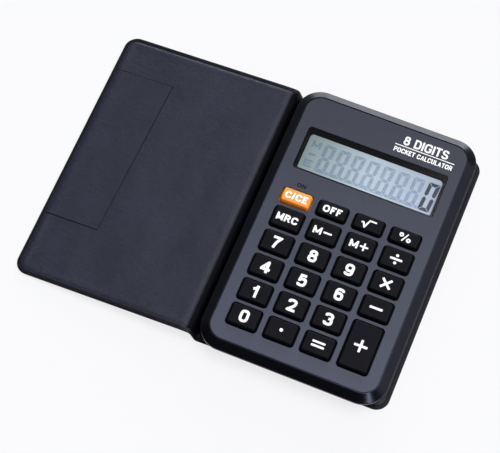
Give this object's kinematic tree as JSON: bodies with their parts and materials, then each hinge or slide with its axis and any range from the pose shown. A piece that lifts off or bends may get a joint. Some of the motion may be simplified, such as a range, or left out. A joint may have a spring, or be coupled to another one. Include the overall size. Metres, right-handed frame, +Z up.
{
  "type": "pocket calculator",
  "caption": "Slim pocket calculator with a bevelled body, a reflective display and rubber keys, taped into a folding vinyl wallet whose cover lies open.",
  "frame": {"origin": "on the table under the middle of the calculator body, at the underside of the wallet's back panel", "axes": "+X to the calculator's right, +Y towards the display end, +Z up, out of the keys; the open cover lies towards -X"},
  "size_m": [0.1281, 0.0982, 0.0094],
  "materials": {
    "face_plate": "satin dark blue-grey coating",
    "case_plastic": "satin black",
    "key_black": "matte",
    "key_orange": "matte",
    "window_acrylic": "polished clear",
    "polariser_film": "matte film",
    "lcd_glass": "polished",
    "reflector_film": "satin silver grey",
    "zebra_rubber": "striped, matte",
    "silicone": "matte translucent grey",
    "carbon_rubber": "matte",
    "board_laminate": "satin",
    "chip_resin": "gloss",
    "capacitor_ceramic": "matte",
    "cell_steel": "brushed",
    "contact_metal": "nickel-plated",
    "screw_steel": "zinc plated",
    "foam_tape": "matte",
    "vinyl_outer": "satin leather-grain vinyl",
    "vinyl_liner": "matte creased vinyl",
    "board_card": "matte grey board"
  },
  "bodies": {
    "calculator": {"back_board": "board_card", "back_liner": "vinyl_liner", "back_skin": "vinyl_outer", "battery_door": "case_plastic", "board_screws": "screw_steel", "button_cell": "cell_steel", "case_screws": "screw_steel", "chip_blob": "chip_resin", "chip_capacitors": "capacitor_ceramic", "circuit_board": "board_laminate", "contact_pills": "carbon_rubber", "display_window": "window_acrylic", "face_plate": "face_plate", "front_case": "case_plastic", "keypad_mat": "silicone", "lcd_foam_pad": "foam_tape", "lcd_front_glass": "lcd_glass", "lcd_front_polariser": "polariser_film", "lcd_rear_glass": "lcd_glass", "lcd_reflector": "reflector_film", "negative_contact": "contact_metal", "positive_contact": "contact_metal", "rear_case": "case_plastic", "tape_strips": "foam_tape", "zebra_connector": "zebra_rubber"},
    "spine": {"spine_skin": "vinyl_outer", "spine_liner": "vinyl_liner"},
    "cover": {"cover_skin": "vinyl_outer", "cover_board": "board_card", "cover_liner": "vinyl_liner", "cover_pocket": "vinyl_liner"},
    "key_clear": {"key_clear": "key_orange"},
    "key_off": {"key_off": "key_black"},
    "key_root": {"key_root": "key_black"},
    "key_percent": {"key_percent": "key_black"},
    "key_memory_recall": {"key_memory_recall": "key_black"},
    "key_memory_minus": {"key_memory_minus": "key_black"},
    "key_memory_plus": {"key_memory_plus": "key_black"},
    "key_divide": {"key_divide": "key_black"},
    "key_7": {"key_7": "key_black"},
    "key_8": {"key_8": "key_black"},
    "key_9": {"key_9": "key_black"},
    "key_multiply": {"key_multiply": "key_black"},
    "key_4": {"key_4": "key_black"},
    "key_5": {"key_5": "key_black"},
    "key_6": {"key_6": "key_black"},
    "key_minus": {"key_minus": "key_black"},
    "key_1": {"key_1": "key_black"},
    "key_2": {"key_2": "key_black"},
    "key_3": {"key_3": "key_black"},
    "key_plus": {"key_plus": "key_black"},
    "key_0": {"key_0": "key_black"},
    "key_point": {"key_point": "key_black"},
    "key_equals": {"key_equals": "key_black"}
  },
  "joints": [
    {"name": "spine_fold", "type": "hinge", "parent": "calculator", "child": "spine", "pos_m": [-0.03135, 0, 0.0006], "axis": [0, 1, 0], "range_deg": [0, 10]},
    {"name": "cover_fold", "type": "hinge", "parent": "spine", "child": "cover", "pos_m": [-0.03313, 0, 0.0076], "axis": [0, 1, 0], "range_deg": [0, 174.3]},
    {"name": "key_clear_press", "type": "slide", "parent": "calculator", "child": "key_clear", "axis": [0, 0, -1], "range_m": [0, 0.0008], "stiffness_N_per_m": 120, "deforming": ["keypad_mat", "contact_pills"]},
    {"name": "key_off_press", "type": "slide", "parent": "calculator", "child": "key_off", "axis": [0, 0, -1], "range_m": [0, 0.0008], "stiffness_N_per_m": 120, "deforming": ["keypad_mat", "contact_pills"]},
    {"name": "key_root_press", "type": "slide", "parent": "calculator", "child": "key_root", "axis": [0, 0, -1], "range_m": [0, 0.0008], "stiffness_N_per_m": 120, "deforming": ["keypad_mat", "contact_pills"]},
    {"name": "key_percent_press", "type": "slide", "parent": "calculator", "child": "key_percent", "axis": [0, 0, -1], "range_m": [0, 0.0008], "stiffness_N_per_m": 120, "deforming": ["keypad_mat", "contact_pills"]},
    {"name": "key_memory_recall_press", "type": "slide", "parent": "calculator", "child": "key_memory_recall", "axis": [0, 0, -1], "range_m": [0, 0.0008], "stiffness_N_per_m": 120, "deforming": ["keypad_mat", "contact_pills"]},
    {"name": "key_memory_minus_press", "type": "slide", "parent": "calculator", "child": "key_memory_minus", "axis": [0, 0, -1], "range_m": [0, 0.0008], "stiffness_N_per_m": 120, "deforming": ["keypad_mat", "contact_pills"]},
    {"name": "key_memory_plus_press", "type": "slide", "parent": "calculator", "child": "key_memory_plus", "axis": [0, 0, -1], "range_m": [0, 0.0008], "stiffness_N_per_m": 120, "deforming": ["keypad_mat", "contact_pills"]},
    {"name": "key_divide_press", "type": "slide", "parent": "calculator", "child": "key_divide", "axis": [0, 0, -1], "range_m": [0, 0.0008], "stiffness_N_per_m": 120, "deforming": ["keypad_mat", "contact_pills"]},
    {"name": "key_7_press", "type": "slide", "parent": "calculator", "child": "key_7", "axis": [0, 0, -1], "range_m": [0, 0.0008], "stiffness_N_per_m": 120, "deforming": ["keypad_mat", "contact_pills"]},
    {"name": "key_8_press", "type": "slide", "parent": "calculator", "child": "key_8", "axis": [0, 0, -1], "range_m": [0, 0.0008], "stiffness_N_per_m": 120, "deforming": ["keypad_mat", "contact_pills"]},
    {"name": "key_9_press", "type": "slide", "parent": "calculator", "child": "key_9", "axis": [0, 0, -1], "range_m": [0, 0.0008], "stiffness_N_per_m": 120, "deforming": ["keypad_mat", "contact_pills"]},
    {"name": "key_multiply_press", "type": "slide", "parent": "calculator", "child": "key_multiply", "axis": [0, 0, -1], "range_m": [0, 0.0008], "stiffness_N_per_m": 120, "deforming": ["keypad_mat", "contact_pills"]},
    {"name": "key_4_press", "type": "slide", "parent": "calculator", "child": "key_4", "axis": [0, 0, -1], "range_m": [0, 0.0008], "stiffness_N_per_m": 120, "deforming": ["keypad_mat", "contact_pills"]},
    {"name": "key_5_press", "type": "slide", "parent": "calculator", "child": "key_5", "axis": [0, 0, -1], "range_m": [0, 0.0008], "stiffness_N_per_m": 120, "deforming": ["keypad_mat", "contact_pills"]},
    {"name": "key_6_press", "type": "slide", "parent": "calculator", "child": "key_6", "axis": [0, 0, -1], "range_m": [0, 0.0008], "stiffness_N_per_m": 120, "deforming": ["keypad_mat", "contact_pills"]},
    {"name": "key_minus_press", "type": "slide", "parent": "calculator", "child": "key_minus", "axis": [0, 0, -1], "range_m": [0, 0.0008], "stiffness_N_per_m": 120, "deforming": ["keypad_mat", "contact_pills"]},
    {"name": "key_1_press", "type": "slide", "parent": "calculator", "child": "key_1", "axis": [0, 0, -1], "range_m": [0, 0.0008], "stiffness_N_per_m": 120, "deforming": ["keypad_mat", "contact_pills"]},
    {"name": "key_2_press", "type": "slide", "parent": "calculator", "child": "key_2", "axis": [0, 0, -1], "range_m": [0, 0.0008], "stiffness_N_per_m": 120, "deforming": ["keypad_mat", "contact_pills"]},
    {"name": "key_3_press", "type": "slide", "parent": "calculator", "child": "key_3", "axis": [0, 0, -1], "range_m": [0, 0.0008], "stiffness_N_per_m": 120, "deforming": ["keypad_mat", "contact_pills"]},
    {"name": "key_plus_press", "type": "slide", "parent": "calculator", "child": "key_plus", "axis": [0, 0, -1], "range_m": [0, 0.0008], "stiffness_N_per_m": 120, "deforming": ["keypad_mat", "contact_pills"]},
    {"name": "key_0_press", "type": "slide", "parent": "calculator", "child": "key_0", "axis": [0, 0, -1], "range_m": [0, 0.0008], "stiffness_N_per_m": 120, "deforming": ["keypad_mat", "contact_pills"]},
    {"name": "key_point_press", "type": "slide", "parent": "calculator", "child": "key_point", "axis": [0, 0, -1], "range_m": [0, 0.0008], "stiffness_N_per_m": 120, "deforming": ["keypad_mat", "contact_pills"]},
    {"name": "key_equals_press", "type": "slide", "parent": "calculator", "child": "key_equals", "axis": [0, 0, -1], "range_m": [0, 0.0008], "stiffness_N_per_m": 120, "deforming": ["keypad_mat", "contact_pills"]}
  ],
  "couplings": [
    {"joint": "spine_fold", "follows": "cover_fold", "ratio": 0.05737}
  ]
}
